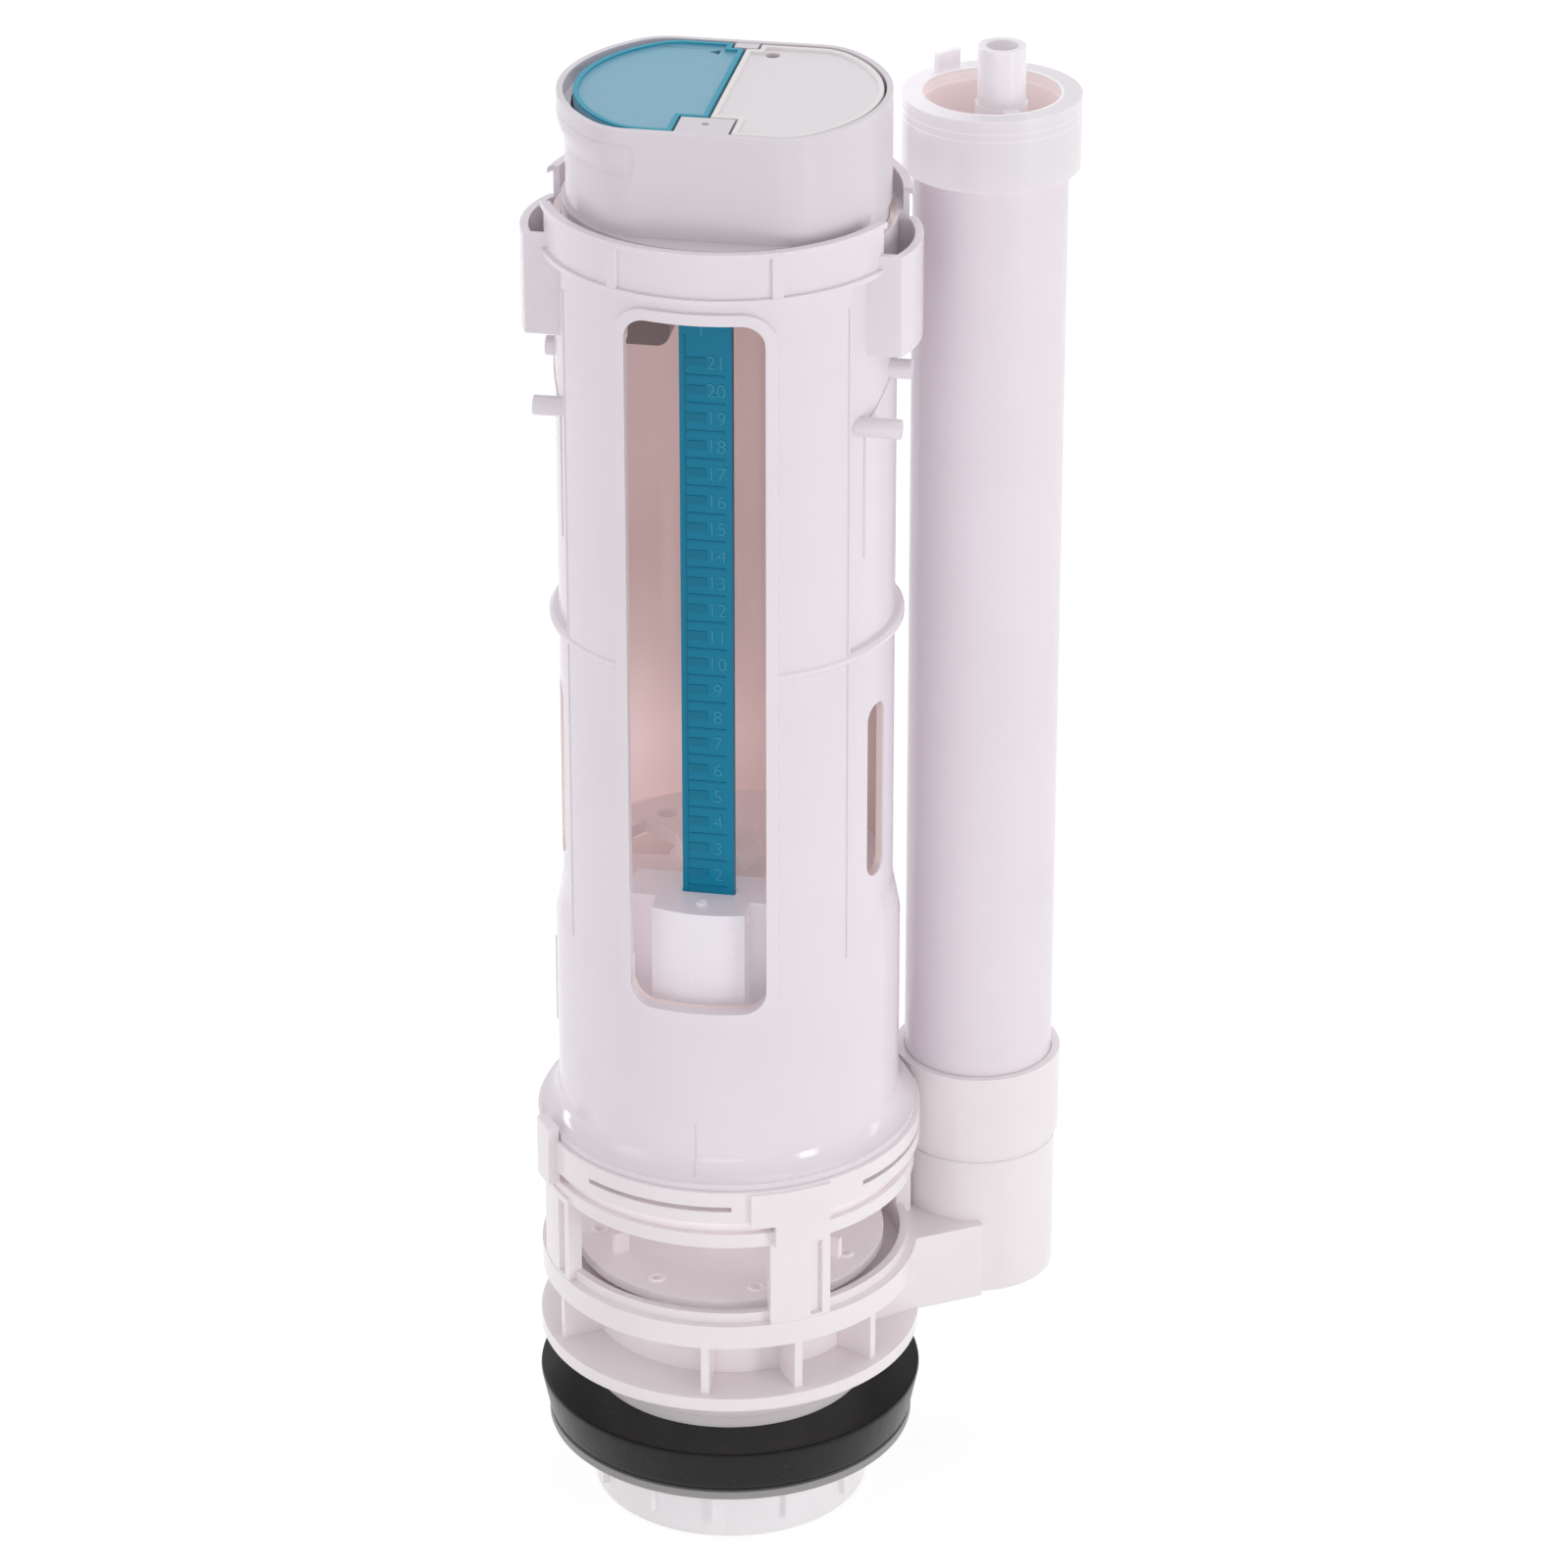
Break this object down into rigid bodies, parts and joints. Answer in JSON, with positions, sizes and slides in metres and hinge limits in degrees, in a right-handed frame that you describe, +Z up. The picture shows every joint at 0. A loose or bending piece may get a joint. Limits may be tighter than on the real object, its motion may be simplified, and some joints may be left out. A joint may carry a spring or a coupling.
{
  "type": "toilet flush valve",
  "caption": "Dual-flush toilet tank valve: windowed tower with blue and white buttons, scale rod and float, basket base with tank gasket and nut, and an overflow tube with refill nipple.",
  "frame": {"origin": "on the outlet axis, on the plane of the tank gasket's underside", "axes": "+Z up along the tower, -Y towards the window, +X towards the full-flush button"},
  "size_m": [0.1132, 0.0939, 0.3361],
  "materials": {
    "base_white": "satin",
    "tower_white": "gloss",
    "tube_white": "gloss",
    "cap_frost": "frosted",
    "inner_white": "satin",
    "button_white": "satin",
    "blue_plastic": "satin",
    "gasket_rubber": "matte",
    "washer_grey": "matte",
    "seal_rubber": "matte",
    "steel": "bright"
  },
  "bodies": {
    "base": {"base_housing": "base_white", "slip_washer": "washer_grey", "tank_gasket": "gasket_rubber", "overflow_tube": "tube_white", "tube_seal": "gasket_rubber", "overflow_cap": "cap_frost"},
    "nut": {"shank_nut": "base_white"},
    "tower": {"tower": "tower_white", "guide_spider": "inner_white", "button_head": "tower_white", "lever_pins": "steel", "full_spring": "steel", "half_spring": "steel"},
    "full_key": {"full_button": "button_white"},
    "half_key": {"half_button": "blue_plastic"},
    "full_rocker": {"full_lever": "inner_white"},
    "half_rocker": {"half_lever": "inner_white"},
    "stem": {"lift_stem": "inner_white", "stem_head": "inner_white", "seal_plate": "inner_white", "seal_ring": "seal_rubber", "seal_retainer": "inner_white", "main_float": "inner_white"},
    "rod": {"scale_rod": "blue_plastic", "rod_clip": "blue_plastic"},
    "float": {"half_float": "tower_white"}
  },
  "joints": [
    {"name": "tower_twist", "type": "hinge", "parent": "base", "child": "tower", "pos_m": [0, 0, 0.077], "axis": [0, 0, 1], "range_deg": [-20, 0]},
    {"name": "nut_turn", "type": "hinge", "parent": "base", "child": "nut", "pos_m": [0, 0, -0.01], "axis": [0, 0, 1], "continuous": true},
    {"name": "full_press", "type": "slide", "parent": "tower", "child": "full_key", "axis": [0, 0, -1], "range_m": [0, 0.005], "stiffness_N_per_m": 300, "springref_m": -0.008, "deforming": ["full_spring"]},
    {"name": "full_tilt", "type": "hinge", "parent": "tower", "child": "full_rocker", "pos_m": [0.013, 0, 0.289], "axis": [0, 1, 0], "range_deg": [0, 26]},
    {"name": "stem_lift", "type": "slide", "parent": "tower", "child": "stem", "axis": [0, 0, 1], "range_m": [0, 0.0082]},
    {"name": "half_press", "type": "slide", "parent": "tower", "child": "half_key", "axis": [0, 0, -1], "range_m": [0, 0.005], "stiffness_N_per_m": 300, "springref_m": -0.008, "deforming": ["half_spring"]},
    {"name": "half_tilt", "type": "hinge", "parent": "tower", "child": "half_rocker", "pos_m": [-0.013, -0.015, 0.289], "axis": [0, -1, 0], "range_deg": [0, 26]},
    {"name": "rod_lift", "type": "slide", "parent": "tower", "child": "rod", "axis": [0, 0, 1], "range_m": [0, 0.0067]},
    {"name": "float_adjust", "type": "slide", "parent": "rod", "child": "float", "axis": [0, 0, 1], "range_m": [0, 0.1]}
  ],
  "couplings": [
    {"joint": "full_tilt", "follows": "full_press", "rad_per_m": 87.2},
    {"joint": "stem_lift", "follows": "full_press", "ratio": 1.6},
    {"joint": "half_tilt", "follows": "half_press", "rad_per_m": 87.2},
    {"joint": "rod_lift", "follows": "half_press", "ratio": 1.3}
  ]
}
